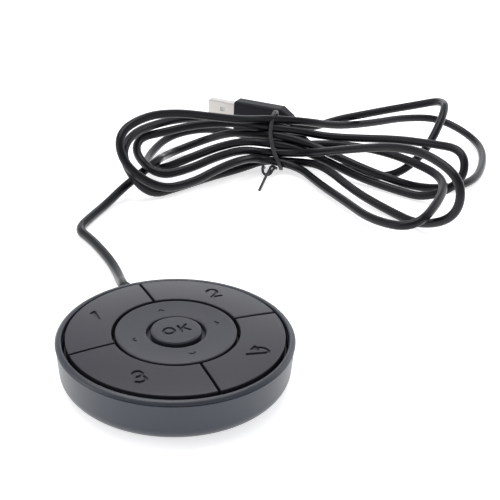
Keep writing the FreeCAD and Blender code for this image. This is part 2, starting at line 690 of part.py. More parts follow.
def switch():
    """A tact switch's square body on the board, open for its stem."""
    half = SWITCH_SIDE / 2
    body = box(-half, half, -half, half, BOARD_TOP, BOARD_TOP + SWITCH_H)
    body = rounded(body, SWITCH_CORNER, lambda e: e.BoundBox.ZLength > SWITCH_H - 0.1)
    top = BOARD_TOP + SWITCH_H
    bore = Part.makeCylinder(STEM_R + SLIDE_FIT, STEM_BORE_DEPTH, V(0, 0, top - STEM_BORE_DEPTH))
    return body.cut(bore)


def stem():
    """The switch's stem, which rests above its bore's floor by its stroke."""
    low = BOARD_TOP + SWITCH_H - STEM_BORE_DEPTH + STEM_SOCKET_GAP
    body = Part.makeCylinder(STEM_R, STEM_TOP - low, V(0, 0, low))
    return body


def moved(shape, point, degrees=0.0):
    copy = shape.copy()
    copy.rotate(ORIGIN, UP, degrees)
    copy.translate(point)
    return copy


def microcontroller():
    p = at(BOARD_R - CHIP_FROM_EDGE, CHIP_AT_DEG)
    half = CHIP_SIDE / 2
    body = box(p.x - half, p.x + half, p.y - half, p.y + half, BOARD_TOP, BOARD_TOP + CHIP_H)
    return rounded(body, 0.2, lambda e: e.BoundBox.ZMin > BOARD_TOP + CHIP_H - 0.01)


def lead_x(i):
    return (i - (LEAD_COUNT - 1) / 2) * LEAD_PITCH


def wire_header():
    half = HEADER_W / 2
    y0 = HEADER_Y - HEADER_D / 2
    body = box(-half, half, y0, y0 + HEADER_D, BOARD_TOP, BOARD_TOP + HEADER_H)
    cuts = []
    for i in range(LEAD_COUNT):
        start = V(lead_x(i), HEADER_Y, BOARD_TOP + HEADER_H / 2)
        cuts.append(Part.makeCylinder(LEAD_WIRE_R, HEADER_D, start, V(0, 1, 0)))
    return body.cut(cuts)


def inner_leads():
    """The cable's cores, fanned out from the sheath to the header."""
    leads = []
    z0 = BOARD_TOP + HEADER_H / 2
    for i in range(LEAD_COUNT):
        x = lead_x(i)
        near = x * LEAD_GATHER
        points = [
            V(x, HEADER_Y + SLIDE_FIT, z0),
            V(x, HEADER_Y + HEADER_D / 2 + LEAD_STRAIGHT, z0),
            V(near, INNER_CABLE_Y - LEAD_STRAIGHT, EXIT_Z),
            V(near, INNER_CABLE_Y, EXIT_Z),
        ]
        edges, _ = rounded_path(points)
        leads.append(tube(edges, points[0], V(0, 1, 0), LEAD_WIRE_R - SLIDE_FIT))
    return Part.makeCompound(leads)


def relief_inner_y():
    """The inside face of the strain relief's inner flange."""
    return math.sqrt((wall_r(EXIT_Z) - WALL) ** 2 - RELIEF_FLANGE_R ** 2) - RELIEF_FLANGE_T


def relief_outer_y():
    return wall_r(EXIT_Z) + RELIEF_LENGTH


def clamp_y():
    """The middle of the clamp, just ahead of the strain relief's flange."""
    return relief_inner_y() - CLAMP_BACK - CLAMP_D / 2


def inner_cable():
    """The sheathed cable inside the case, from its stripped end to the strain relief."""
    return along_y(CABLE_D / 2, INNER_CABLE_Y, relief_inner_y())


def strain_relief():
    """The rubber boot: a flange inside the wall, a neck through it and a notched taper outside."""
    y0 = relief_inner_y()
    y1 = wall_r(EXIT_Z + RELIEF_FLANGE_R) + RELIEF_COLLAR_T
    y2 = relief_outer_y()
    inside = bowl(WALL, FLOOR_Z, CASE_TOP, BASE_FILLET - WALL)
    outside = bowl(0.0, CASE_BOTTOM, CASE_TOP, BASE_FILLET)
    flange = along_y(RELIEF_FLANGE_R, y0, CASE_R).common(inside)
    collar = along_y(RELIEF_FLANGE_R, y0, y1).cut(outside)
    neck = along_y(EXIT_BORE_R, y0, y1)
    boot = Part.makeCone(RELIEF_BOOT_R, RELIEF_END_R, y2 - y1, V(0, y1, EXIT_Z), V(0, 1, 0))
    body = neck.fuse([flange, collar, boot])
    # notches by turns on both sides, down to a sleeve round the cable
    pitch = (y2 - y1 - RELIEF_RIB_W) / (2 * RELIEF_RIBS)
    r = RELIEF_FLANGE_R
    sleeve = along_y(CABLE_D / 2 + LOOSE, y1, y2)
    for i in range(2 * RELIEF_RIBS):
        y = y1 + RELIEF_RIB_W + pitch * i - RELIEF_RIB_W / 2
        lo, hi = (-r, -RELIEF_SPINE) if i % 2 == 0 else (RELIEF_SPINE, r)
        body = body.cut(box(lo, hi, y, y + RELIEF_RIB_W, EXIT_Z - r, EXIT_Z + r).cut(sleeve))
    return body.removeSplitter()


def cable_clamp():
    """The bar that presses the inner cable into its saddle."""
    half = CLAMP_W / 2
    y0 = clamp_y() - CLAMP_D / 2
    top = EXIT_Z + CLAMP_T + CLAMP_RISE
    body = box(-half, half, y0, y0 + CLAMP_D, EXIT_Z, top)
    body = rounded(body, CLAMP_EDGE, lambda e: e.BoundBox.ZMin > top - 0.01 and e.BoundBox.YLength > 1)
    body = body.cut(along_y(CABLE_D / 2, y0 - 1, y0 + CLAMP_D + 1))
    for x in (-CLAMP_SCREW_X, CLAMP_SCREW_X):
        body = body.cut(Part.makeCylinder(BOARD_SCREW_R, CLAMP_T * 2, V(x, clamp_y(), EXIT_Z - 1)))
        seat = V(x, clamp_y(), EXIT_Z + CLAMP_T)
        body = body.cut(Part.makeCylinder(BOARD_SCREW_HEAD_R, CLAMP_T, seat))
    return body


def screw(head_r, head_h, r, length):
    """A pan-head screw with its seat at z = 0 and its head above, with a crossed socket."""
    head = Part.makeCylinder(head_r, head_h, ORIGIN)
    head = rounded(head, head_h * 0.4, lambda e: e.BoundBox.ZMin > head_h - 0.01)
    for a, b in ((SOCKET_W, SOCKET_SLOT), (SOCKET_SLOT, SOCKET_W)):
        head = head.cut(box(-a / 2, a / 2, -b / 2, b / 2, head_h - SOCKET_DEPTH, head_h + 1))
    return head.fuse(Part.makeCylinder(r, length, V(0, 0, -length)))


def case_screws():
    group = []
    for deg in screw_bearings():
        s = screw(SCREW_HEAD_R, SCREW_HEAD_H, SCREW_R, SCREW_LENGTH)
        s.rotate(ORIGIN, V(1, 0, 0), 180)
        group.append(moved(s, at(SCREW_AT_R, deg, SCREW_SEAT_Z)))
    return Part.makeCompound(group)


def small_screw():
    return screw(BOARD_SCREW_HEAD_R, BOARD_SCREW_HEAD_H, BOARD_SCREW_R, BOARD_SCREW_LENGTH)


def board_screws():
    places = [at(SCREW_AT_R, deg, BOARD_TOP) for deg in BOARD_SCREWS]
    return Part.makeCompound([moved(small_screw(), p) for p in places])


def clamp_screws():
    places = [V(x, clamp_y(), EXIT_Z + CLAMP_T) for x in (-CLAMP_SCREW_X, CLAMP_SCREW_X)]
    return Part.makeCompound([moved(small_screw(), p) for p in places])


# Cable
def arc_edge(a, direction, b):
    """The arc from a to b that leaves a in the direction, and its radius."""
    chord = b.sub(a)
    half = chord.Length / 2
    chord.normalize()
    lift = direction.getAngle(chord)
    side = direction.sub(chord * direction.dot(chord))
    side.normalize()
    middle = (a + b) * 0.5 + side * (half * math.tan(lift / 2))
    return Part.Arc(a, middle, b).toShape(), half / math.sin(lift)


def rounded_path(points):
    """Straight runs joined by tangent arcs, with each arc's radius."""
    edges = []
    radii = []
    last = points[0]
    for i in range(1, len(points) - 1):
        a = points[i].sub(points[i - 1])
        b = points[i + 1].sub(points[i])
        trim = RUN_SHARE * min(a.Length, b.Length)
        a.normalize()
        b.normalize()
        start = points[i].sub(a * trim)
        end = points[i].add(b * trim)
        bend, radius = arc_edge(start, a, end)
        edges += [Part.LineSegment(last, start).toShape(), bend]
        radii.append(radius)
        last = end
    edges.append(Part.LineSegment(last, points[-1]).toShape())
    return edges, radii


def biarc(a, ta, b, tb):
    """Two tangent arcs from a to b with the directions at both ends, and their radii."""
    span = b.sub(a)
    both = ta + tb
    bend = 2 * (1 - ta.dot(tb))
    reach = (math.sqrt(span.dot(both) ** 2 + bend * span.dot(span)) - span.dot(both)) / bend
    middle = (a + b + (ta - tb) * reach) * 0.5
    chord = middle.sub(a)
    chord.normalize()
    first, r1 = arc_edge(a, ta, middle)
    second, r2 = arc_edge(middle, chord * (2 * ta.dot(chord)) - ta, b)
    return [first, second], [r1, r2]


def through(nodes):
    """Tangent arcs through places with their directions."""
    edges = []
    radii = []
    for (a, ta), (b, tb) in zip(nodes, nodes[1:]):
        pair, both = biarc(a, ta, b, tb)
        edges += pair
        radii += both
    return edges, radii


def tube(edges, start, direction, radius):
    """A round tube along the edges."""
    circle = Part.Wire([Part.Circle(start, direction, radius).toShape()])
    return Part.Wire(edges).makePipeShell([circle], True, False)


def report_tube(name, shape, edges, radius, radii):
    """Prints the bends' radii and how the tube's volume agrees with its section and length."""
    length = sum(e.Length for e in edges)
    share = shape.Volume / (math.pi * radius ** 2 * length)
    print("%s: length %.1f, volume / (section x length) %.5f" % (name, length, share))
    print("    radii " + " ".join("%.0f" % r if r > 10 else "%.1f" % r for r in radii))


# Hank
def slot(rank):
    """A slot in the waist, along, across and up from the hank's place.

    The slots come in threes, the middle one of each behind the other two.
    """
    lean = math.radians(SLOT_LEAN)
    side = -SLOT_HALF if rank % 3 == 1 else SLOT_HALF
    stack = SLOT_STEP * (rank + rank // 3)
    across = SLOT_BACK + stack * math.cos(lean) - side * math.sin(lean)
    up = SLOT_LOW + stack * math.sin(lean) + side * math.cos(lean)
    return V(0, across, up)


def from_hank(p):
    """A place along, across and up from the hank's place, in the puck's axes."""
    copy = V(p)
    h = math.radians(HANK_HEADING)
    copy.x = HANK_X + p.x * math.cos(h) - p.y * math.sin(h)
    copy.y = HANK_Y + p.x * math.sin(h) + p.y * math.cos(h)
    return copy


def to_hank(p):
    h = math.radians(HANK_HEADING)
    dx = p.x - HANK_X
    dy = p.y - HANK_Y
    return V(dx * math.cos(h) + dy * math.sin(h), dy * math.cos(h) - dx * math.sin(h), p.z)


def plug_way():
    """The direction from the cable into the plug."""
    h = math.radians(PLUG_HEADING)
    return V(math.cos(h), math.sin(h), 0)


def plug_nose():
    """The middle of the face where the cable enters the plug."""
    return V(PLUG_X, PLUG_Y, PLUG_H / 2)


def loop_end(row):
    """Where a half loop ends: in its slot, or one cable's width ahead of the plug."""
    if row[2] is None:
        return to_hank(plug_nose().sub(plug_way() * CABLE_D))
    return slot(row[2])


def half_loop(row, t):
    """A place on a half loop, from t = 0 in the slot that it leaves to t = 1 where it ends."""
    side, first, last, high, reach, out, back, yaw, curl, roll, tip, rise_out, rise_back = row
    a = slot(first)
    b = loop_end(row)
    turn = 2 * math.pi * t
    away = (1 - math.cos(turn)) / 2
    spread = out if t <= 0.5 else back
    rise = rise_out if t <= 0.5 else rise_back
    yaw = math.radians(yaw)
    roll = math.radians(roll)
    wide = high * spread * math.sin(turn) * math.sin(turn / 2) ** 2 * 8 / (3 * math.sqrt(3))
    blend = t * t * (3 - 2 * t)
    across = wide * math.cos(roll) + curl * away ** 2
    x = side * (reach * away * math.cos(yaw) - across * math.sin(yaw)) + a.x + (b.x - a.x) * blend
    y = reach * away * math.sin(yaw) + across * math.cos(yaw) + a.y + (b.y - a.y) * blend
    z = (a.z + (b.z - a.z) * blend) * (1 - away) + (FLOOR_LIE + tip) * away
    z += wide * math.sin(roll) + rise * 4 * away * (1 - away)
    # what would sink below the surface settles on it
    z = FLOOR_LIE + math.log(1 + math.exp(FLOOR_SOFT * (z - FLOOR_LIE))) / FLOOR_SOFT
    return V(x, y, z)


def half_loop_nodes(row):
    """Places and directions along a half loop, in the puck's axes."""
    origin = from_hank(ORIGIN)
    nodes = [(from_hank(slot(row[1])), from_hank(V(row[0], 0, 0)).sub(origin))]
    for t in LOOP_NODES:
        way = from_hank(half_loop(row, t + LOOP_STEP)).sub(from_hank(half_loop(row, t - LOOP_STEP)))
        way.normalize()
        nodes.append((from_hank(half_loop(row, t)), way))
    way = plug_way() if row[2] is None else from_hank(V(-row[0], 0, 0)).sub(origin)
    nodes.append((from_hank(loop_end(row)), way))
    return nodes


def hank_start():
    """Where the free stretch meets the hank, ahead of the waist."""
    return from_hank(slot(LEAD_IN_SLOT) + V(-LEAD_IN_RUN, 0, 0))


def hank_path():
    """The hank's edges from the free stretch to the plug, and the radii of its arcs."""
    edges = [Part.LineSegment(hank_start(), from_hank(slot(LEAD_IN_SLOT))).toShape()]
    radii = []
    for row in HALF_LOOPS:
        arcs, both = through(half_loop_nodes(row))
        edges += arcs
        radii += both
    nose = plug_nose()
    edges.append(Part.LineSegment(nose.sub(plug_way() * CABLE_D), nose).toShape())
    return edges, radii


def lead_path():
    """The free stretch's edges, from the strain relief's outer face to the hank."""
    end = hank_start()
    before = from_hank(slot(LEAD_IN_SLOT) + V(-LEAD_IN_RUN - LEAD_END_RUN, 0, 0))
    route = [V(*p) for p in LEAD_ROUTE]
    return rounded_path([V(0, relief_outer_y(), EXIT_Z)] + route + [before, end])


def path_points(edges):
    """Places along the edges about a millimetre apart, each with its distance along."""
    points = []
    run = 0.0
    for edge in edges:
        count = max(2, int(math.ceil(edge.Length)))
        for i, p in enumerate(edge.discretize(Number=count + 1)[:-1]):
            points.append((p.x, p.y, p.z, run + edge.Length * i / count))
        run += edge.Length
    return points


def report_gap(name, points, diameter, apart):
    """Prints the least gap between stretches of a tube that are some way apart along it."""
    least = 1e9
    for i, a in enumerate(points):
        for b in points[i + 1:]:
            if b[3] - a[3] > apart:
                gap = (a[0] - b[0]) ** 2 + (a[1] - b[1]) ** 2 + (a[2] - b[2]) ** 2
                if gap < least:
                    least = gap
                    pair = (a, b)
    places = " and ".join("(%.0f, %.0f, %.0f)" % p[:3] for p in pair)
    print("%s: least gap %.2f between %s" % (name, math.sqrt(least) - diameter, places))


def cable_lead():
    edges, radii = lead_path()
    body = tube(edges, V(0, relief_outer_y(), EXIT_Z), V(0, 1, 0), CABLE_D / 2)
    report_tube("cable_lead", body, edges, CABLE_D / 2, radii)
    return body


def cable_hank():
    edges, radii = hank_path()
    start = hank_start()
    body = tube(edges, start, from_hank(slot(LEAD_IN_SLOT)).sub(start), CABLE_D / 2)
    report_tube("cable_hank", body, edges, CABLE_D / 2, radii)
    report_gap("cable_lead and cable_hank", path_points(lead_path()[0] + edges), CABLE_D, 4 * CABLE_D)
    return body


# Tie
def tie_band():
    """A leaning slice of a sleeve pulled round the strands in the waist."""
    corners = [slot(r) for r in (0, 1, SLOT_COUNT - 2, SLOT_COUNT - 1)]
    face = Part.Face(Part.makePolygon(corners + corners[:1]))
    inner = face.makeOffset2D(CABLE_D / 2 + TIE_GAP, 0)
    outer = face.makeOffset2D(CABLE_D / 2 + TIE_GAP + TIE_T, 0)
    sleeve = outer.cut(inner)
    sleeve.translate(V(-TIE_SLEEVE / 2, 0, 0))
    lean = math.radians(SLOT_LEAN)
    turn = math.radians(TIE_LEAN)
    back = V(0, math.sin(lean), -math.cos(lean))
    middle = corners[0].add(corners[-1]) / 2
    slab = Part.makeBox(TIE_W, TIE_SLEEVE, TIE_SLEEVE, V(-TIE_W, -TIE_SLEEVE, -TIE_SLEEVE) / 2)
    slab.Placement = FreeCAD.Placement(
        middle.add(V(TIE_AT, 0, 0)),
        FreeCAD.Rotation(V(1, 0, 0), V(math.cos(turn), 0, 0) - back * math.sin(turn)))
    band = sleeve.extrude(V(TIE_SLEEVE, 0, 0)).common(slab)
    return rounded(band, TIE_EDGE, lambda e: e.BoundBox.YLength > 0.01)


def tail_nodes():
    """The wire's way from under the band, once round its curl and out to the tip."""
    tilt = math.radians(CURL_TILT)
    side = V(1, 0, 0)
    up = V(0, math.sin(tilt), math.cos(tilt))
    toward = V(0, -math.cos(tilt), math.sin(tilt))
    centre = V(*CURL_AT)
    nodes = [(V(*TAIL_START), V(*TAIL_START_WAY))]
    for deg in CURL_NODES:
        a = math.radians(deg)
        place = centre + side * (CURL_R * math.cos(a)) + up * (CURL_R * math.sin(a))
        place = place + toward * (CURL_PITCH * (deg - CURL_NODES[0]) / 360)
        nodes.append((place, up * math.cos(a) - side * math.sin(a)))
    tip = V(*TAIL_TIP)
    nodes.append((tip, tip.sub(nodes[-1][0])))
    for place, way in nodes:
        way.normalize()
    return nodes


def hank_tie():
    """The band with the end of its wire curled under it, placed at the waist."""
    nodes = tail_nodes()
    edges, radii = through(nodes)
    tail = tube(edges, nodes[0][0], nodes[0][1], TIE_WIRE_R)
    report_tube("tail of hank_tie", tail, edges, TIE_WIRE_R, radii)
    body = tie_band().fuse(tail)
    body.rotate(ORIGIN, UP, HANK_HEADING)
    body.translate(V(HANK_X, HANK_Y, 0))
    return body


# Plug
def rectangle(x, height, thickness, corner):
    """A rounded rectangle across the plug's axis."""
    h = height / 2
    t = thickness / 2
    wire = Part.makePolygon([V(x, -t, -h), V(x, t, -h), V(x, t, h), V(x, -t, h), V(x, -t, -h)])
    core = Part.Face(wire).makeOffset2D(-corner)
    return core.makeOffset2D(corner, 0).OuterWire


def placed(shape):
    """The plug's piece from its own axis to its place, standing on its narrow edge."""
    shape.rotate(ORIGIN, UP, PLUG_HEADING)
    shape.translate(plug_nose())
    return shape


def prism(x0, x1, height, thickness, corner):
    return Part.Face(rectangle(x0, height, thickness, corner)).extrude(V(x1 - x0, 0, 0))


def plug_overmould():
    body = prism(PLUG_BEVEL, PLUG_LENGTH, PLUG_H, PLUG_T, PLUG_CORNER)
    body = rounded(body, PLUG_EDGE, lambda e: e.BoundBox.XMin > PLUG_LENGTH - 0.01)
    ends = [rectangle(0, PLUG_NOSE_H, PLUG_NOSE_T, PLUG_CORNER),
            rectangle(PLUG_BEVEL, PLUG_H, PLUG_T, PLUG_CORNER)]
    body = body.fuse(Part.makeLoft(ends, True, True))
    start = PLUG_LENGTH - SHELL_SUNK
    return placed(body.cut(prism(start, PLUG_LENGTH + 1, SHELL_W, SHELL_T, SHELL_CORNER)))


def plug_shell():
    start = PLUG_LENGTH - SHELL_SUNK
    end = PLUG_LENGTH + SHELL_LENGTH
    body = prism(start, end, SHELL_W, SHELL_T, SHELL_CORNER)
    inner = SHELL_W - 2 * SHELL_SKIN
    inner_t = SHELL_T - 2 * SHELL_SKIN
    body = body.cut(prism(start, end, inner, inner_t, SHELL_CORNER - SHELL_SKIN))
    # two windows on each broad side
    half = WINDOW_SIDE / 2
    x = PLUG_LENGTH + WINDOW_AT
    for z in (-WINDOW_APART / 2, WINDOW_APART / 2):
        body = body.cut(box(x - half, x + half, -SHELL_T, SHELL_T, z - half, z + half))
    return placed(body)


def tongue_y():
    """The tongue's inner face, on the plug's far side."""
    return SHELL_T / 2 - SHELL_SKIN - TONGUE_T


def plug_tongue():
    start = PLUG_LENGTH - SHELL_SUNK
    half = SHELL_W / 2 - SHELL_SKIN
    far = SHELL_T / 2 - SHELL_SKIN
    block = prism(start, PLUG_LENGTH, 2 * half, 2 * far, SHELL_CORNER - SHELL_SKIN)
    end = PLUG_LENGTH + SHELL_LENGTH - TONGUE_BACK
    plate = box(start, end, tongue_y(), far, -half + SHELL_CORNER, half - SHELL_CORNER)
    return placed(block.fuse(plate).removeSplitter())


def plug_contacts():
    end = PLUG_LENGTH + SHELL_LENGTH - TONGUE_BACK - CONTACT_BACK
    strips = []
    for i in range(CONTACT_COUNT):
        z = (i - (CONTACT_COUNT - 1) / 2) * CONTACT_PITCH
        y = tongue_y()
        strip = box(PLUG_LENGTH, end, y - CONTACT_T, y, z - CONTACT_W / 2, z + CONTACT_W / 2)
        strips.append(placed(strip))
    return Part.makeCompound(strips)


def main():
    save("lower_case", lower_case())
    save("foot_ring", foot_ring())
    save("rim_bezel", rim_bezel())
    first_key = key()
    for name, deg in (("key_2", 0.0), ("key_1", 90.0), ("key_3", 180.0), ("key_back", 270.0)):
        save(name, turned(first_key, deg))
        save(name + "_stem", moved(stem(), at(KEY_SWITCH_R, 45.0 + deg)))
    save("nav_ring", nav_ring())
    save("nav_hub", nav_hub())
    save("nav_gimbal", nav_gimbal())
    for name, deg in (("right", 0.0), ("up", 90.0), ("left", 180.0), ("down", 270.0)):
        save("nav_stem_" + name, moved(stem(), at(NAV_AT_R, deg)))
    save("ok_button", ok_button())
    save("ok_stem", stem())
    save("key_frame", key_frame())
    save("circuit_board", circuit_board())
    quarters = [90.0 * i for i in range(QUARTERS)]
    around = [moved(switch(), at(KEY_SWITCH_R, 45.0 + deg), 45.0) for deg in quarters]
    save("key_switches", Part.makeCompound(around))
    save("nav_switches", Part.makeCompound([moved(switch(), at(NAV_AT_R, deg)) for deg in quarters]))
    save("ok_switch", switch())
    save("microcontroller", microcontroller())
    save("wire_header", wire_header())
    save("inner_leads", inner_leads())
    save("inner_cable", inner_cable())
    save("strain_relief", strain_relief())
    save("cable_clamp", cable_clamp())
    save("clamp_screws", clamp_screws())
    save("case_screws", case_screws())
    save("board_screws", board_screws())
    save("cable_lead", cable_lead())
    save("cable_hank", cable_hank())
    save("hank_tie", hank_tie())
    save("plug_overmould", plug_overmould())
    save("plug_shell", plug_shell())
    save("plug_tongue", plug_tongue())
    save("plug_contacts", plug_contacts())


main()
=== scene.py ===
import json
import math

import bmesh
import bpy
from mathutils import Matrix, Vector
from mathutils.bvhtree import BVHTree


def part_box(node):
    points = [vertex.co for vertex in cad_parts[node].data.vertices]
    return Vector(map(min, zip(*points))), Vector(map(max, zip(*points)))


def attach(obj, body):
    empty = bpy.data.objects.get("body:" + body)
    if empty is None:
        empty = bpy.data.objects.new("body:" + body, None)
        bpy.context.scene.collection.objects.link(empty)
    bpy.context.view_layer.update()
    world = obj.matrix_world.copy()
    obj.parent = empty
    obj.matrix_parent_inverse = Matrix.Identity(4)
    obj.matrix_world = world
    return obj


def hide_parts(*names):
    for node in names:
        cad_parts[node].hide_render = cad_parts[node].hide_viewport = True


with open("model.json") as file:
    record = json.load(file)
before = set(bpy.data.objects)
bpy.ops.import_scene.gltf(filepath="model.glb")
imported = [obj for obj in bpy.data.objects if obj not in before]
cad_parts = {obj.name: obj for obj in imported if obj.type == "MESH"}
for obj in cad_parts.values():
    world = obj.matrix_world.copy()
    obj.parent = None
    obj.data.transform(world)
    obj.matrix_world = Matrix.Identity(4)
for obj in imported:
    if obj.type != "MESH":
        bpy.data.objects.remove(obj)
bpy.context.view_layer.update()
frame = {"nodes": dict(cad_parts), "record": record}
nodes = frame["nodes"]

# Lengths below are in millimetres in the puck's axes, and angles in degrees, unless a comment
# says otherwise. MM turns them into Blender's metres.
MM = 0.001

# Camera: place and clipping in metres, heading from +Y, tilt from level and roll
CAMERA_AT = (-0.0878, -0.2263, 0.1615)
CAMERA_CLIP = (0.01, 20)
CAMERA_HEADING = -25.95
CAMERA_TILT = -26.38
CAMERA_ROLL = 2.2
CAMERA_LENS = 71.4
CAMERA_SENSOR = 36.0

# Cable: diameter and length in metres, fineness of its drawn tube, and height of its exit
CABLE_D = 3.5 * MM
CABLE_STEPS = 8
CABLE_BEVEL = 6
EXIT_Z = 5.3

# Control points of the cable's free stretch. It ends in a straight run towards a slot of the
# hank, LEAD_END_RUN long and LEAD_IN_RUN short of the slot.
LEAD_ROUTE = [
    (0.3, 49.0, 5.1), (1.6, 55.5, 3.2), (3.1, 64.0, 1.9), (3.6, 72.0, 1.8), (3.3, 81.5, 1.8),
    (2.3, 92.5, 1.8), (0.2, 102.1, 1.8), (8.8, 111.8, 1.8), (17.0, 120.2, 1.8),
    (28.4, 129.1, 5.1), (45.2, 134.5, 12.5), (51.3, 151.2, 5.5), (61.2, 164.5, 1.9),
    (77.6, 164.5, 6.2),
]
LEAD_END_RUN = 9.9
LEAD_IN_RUN = 12.0
LEAD_IN_SLOT = 5

# Hank: place and heading of its waist. Its own axes go along it, across it and up.
HANK_X = 99.35
HANK_Y = 133.08
HANK_HEADING = -33.5

# Slots of the waist, one for each strand, up a leaning stack: from one to the next, more after
# every third, the first one, half the stack's depth, its lean, and its place across and up
SLOT_COUNT = 9
SLOT_STEP = 2.2
SLOT_REST = 1.32
SLOT_START = 0.3
SLOT_HALF = 1.75
SLOT_LEAN = 46.0
SLOT_BACK = -0.8
SLOT_LOW = 3.2
# how far a strand turns in its slot, from along the hank (0) to where it goes next (1)
SLOT_CROSS = 0.6

# Height of a strand's middle on the table, and how sharply a strand settles there
FLOOR_LIE = 2.1
FLOOR_SOFT = 1.2

# Nodes on a half loop, from 0 at its start to 1 at its end, the step that finds their
# directions, and how far along a leg between two nodes their control points are
LOOP_NODES = (1 / 5, 1 / 3, 1 / 2, 2 / 3, 4 / 5)
LOOP_STEP = 0.001
LEG_SHARE = 0.26
# makes the most that a half loop spreads equal to its spread
SPREAD_UNIT = 8 / (3 * math.sqrt(3))

# Each half loop, near the CAD's and moved to the photograph: side (1 right, -1 left),
# slot that it leaves, slot that it enters (None ends at the plug), 1 where it goes out high or
# -1 low, reach, spread of the run out and of the run back, yaw, curl of the tip, roll, height
# of the tip, and the rise of the run out and of the run back
HALF_LOOPS = [
    (1, 5, 8, -1, 92.5, 39.5, 34.2, 6, 27, 8.2, -1, 1.4, -3.7),
    (-1, 8, 0, 1, 77.9, 12.2, 20.8, -41.6, -0.7, 58.7, 19.8, -0.8, 8.9),
    (1, 0, 4, -1, 68.6, 40.7, 9.5, 0.8, -36.5, 2.7, 10.6, -4, 1.1),
    (-1, 4, 3, 1, 58, 24.2, 23.5, -6.9, -6.7, 1, -0.1, 2.8, 8.6),
    (1, 3, 6, -1, 74.4, 19.5, 8.5, 6.1, -33.7, 53.6, 14.3, 0.2, -5.6),
    (-1, 6, 2, 1, 60.5, 3.3, 23.7, -8.6, -24.3, 22.9, 14.1, 2.7, 6.2),
    (1, 2, 1, 1, 96, 13.5, 38.1, -33.7, -10.9, 88, 17.6, 0.1, 18.2),
    (-1, 1, 7, -1, 57.7, 20.5, 13.7, 0.7, -48.4, 21.5, 17.1, -18.1, -1.9),
    (1, 7, None, -1, 66, 24.7, 1.6, 8.7, -9.2, -1.7, 25.8, -23.8, -1.5),
]

# Tie: the band's width, thickness and gap to the strands, its place along the hank, how far its
# top and bottom turn along the hank, how far its front is drawn aside, the depth over which that
# fades, how far its top stands off, the power that rounds its section, and its mesh's fineness
TIE_W = 1.8
TIE_T = 1.1
TIE_GAP = 0.6
TIE_AT = -1.1
TIE_TURN = 2.6
TIE_BOW = 3.3
TIE_FADE = 4
TIE_LIFT = 0.5
TIE_ROUND = 2.6
TIE_CORNER_STEPS = 10
TIE_STEP = 1.2
TIE_SIDES = 20
TIE_SMOOTH = 50

# The tie's two wire ends, in the hank's axes: a ring, and a straight end that goes through it
WIRE_R = 0.6
WIRE_STEPS = 10
WIRE_BEVEL = 5
WIRES = [
    [(-0.6, -3.4, 2.4), (-1.2, -6.4, 3.2), (-1.75, -8.7, 3.1), (-2.4, -9.45, 1.95),
     (-3.8, -9.75, 1.45), (-5.25, -9.45, 2.0), (-5.85, -8.6, 3.3), (-6.0, -6.2, 3.6),
     (-5.7, -3.6, 2.2)],
    [(-0.4, -3.3, 2.2), (-2.2, -4.8, 3.6), (-2.95, -8.8, 3.2), (-3.9, -15.5, 1.9),
     (-4.8, -25.1, 0.65)],
]

# Plug, standing on its narrow edge: where the cable enters it, its heading and its height
PLUG_X = 122.06
PLUG_Y = 164.81
PLUG_HEADING = 129.8
PLUG_H = 15.5

# Finishes by material slot: colour, roughness, size of the grain, depth of its bump and, where
# they aren't plain plastic's, metallic, change of tone and specular level
FINISHES = {
    "case_plastic": ((0.032, 0.04, 0.056), 0.4, 0.14, 0.02),
    "bezel_plastic": ((0.033, 0.038, 0.049), 0.36, 0.12, 0.01),
    "key_plastic": ((0.022, 0.022, 0.03), 0.37, 0.14, 0.015),
    "nav_plastic": ((0.026, 0.027, 0.036), 0.36, 0.14, 0.012),
    "ok_plastic": ((0.026, 0.027, 0.036), 0.36, 0.14, 0.012),
    "foot_rubber": ((0.02, 0.02, 0.021), 0.7, 0.3, 0.03),
    "relief_rubber": ((0.008, 0.008, 0.01), 0.45, 0.2, 0.015, 0.0, 0.06, 0.22),
    "cable_sheath": ((0.007, 0.007, 0.009), 0.32, 0.5, 0.012, 0.0, 0.15, 0.22),
    "tie_sheath": ((0.026, 0.026, 0.03), 0.34, 0.3, 0.012),
    "frame_plastic": ((0.05, 0.05, 0.055), 0.5, 0.2, 0.01),
    "board": ((0.03, 0.12, 0.06), 0.35, 0.5, 0.01),
    "switch_body": ((0.03, 0.03, 0.03), 0.45, 0.2, 0.01),
    "stem_plastic": ((0.75, 0.74, 0.7), 0.4, 0.2, 0.01),
    "chip": ((0.02, 0.02, 0.02), 0.6, 0.1, 0.01),
    "header_plastic": ((0.8, 0.78, 0.7), 0.45, 0.2, 0.01),
    "lead_sheath": ((0.6, 0.1, 0.08), 0.4, 0.3, 0.01),
    "screw_steel": ((0.55, 0.56, 0.58), 0.3, 0.1, 0.005, 1.0),
    "plug_plastic": ((0.013, 0.013, 0.017), 0.48, 0.15, 0.015, 0.0, 0.1, 0.14),
    "plug_steel": ((0.38, 0.365, 0.345), 0.3, 0.2, 0.002, 1.0),
    "tongue_plastic": ((0.8, 0.8, 0.77), 0.4, 0.2, 0.01),
    "contact_gold": ((0.9, 0.68, 0.3), 0.2, 0.2, 0.002, 1.0),
}
TONE_SIZE = 9
TONE_DETAIL = 3.0
GRAIN_DETAIL = 2.0
GLOSS_CHANGE = 0.15
BUMP_STRENGTH = 0.5

# Engraved signs and direction marks: half a stroke's width and its depth, what share of the
# width its bottom has, the depth of its bevelled lip, how far its cutter stands proud, the steps
# of its round end, and the marks' place on the ring
SIGN_HALF = 0.43
SIGN_DEPTH = 0.5
OK_HALF = SIGN_HALF * 0.85
MARK_HALF = 0.25
MARK_DEPTH = 0.28
SIGN_TAPER = 0.88
SIGN_LIP = 0.1
SIGN_ABOVE = 0.05
CAP_STEPS = 8
MARK_AT_R = 12.6
MARK_COUNT = 4

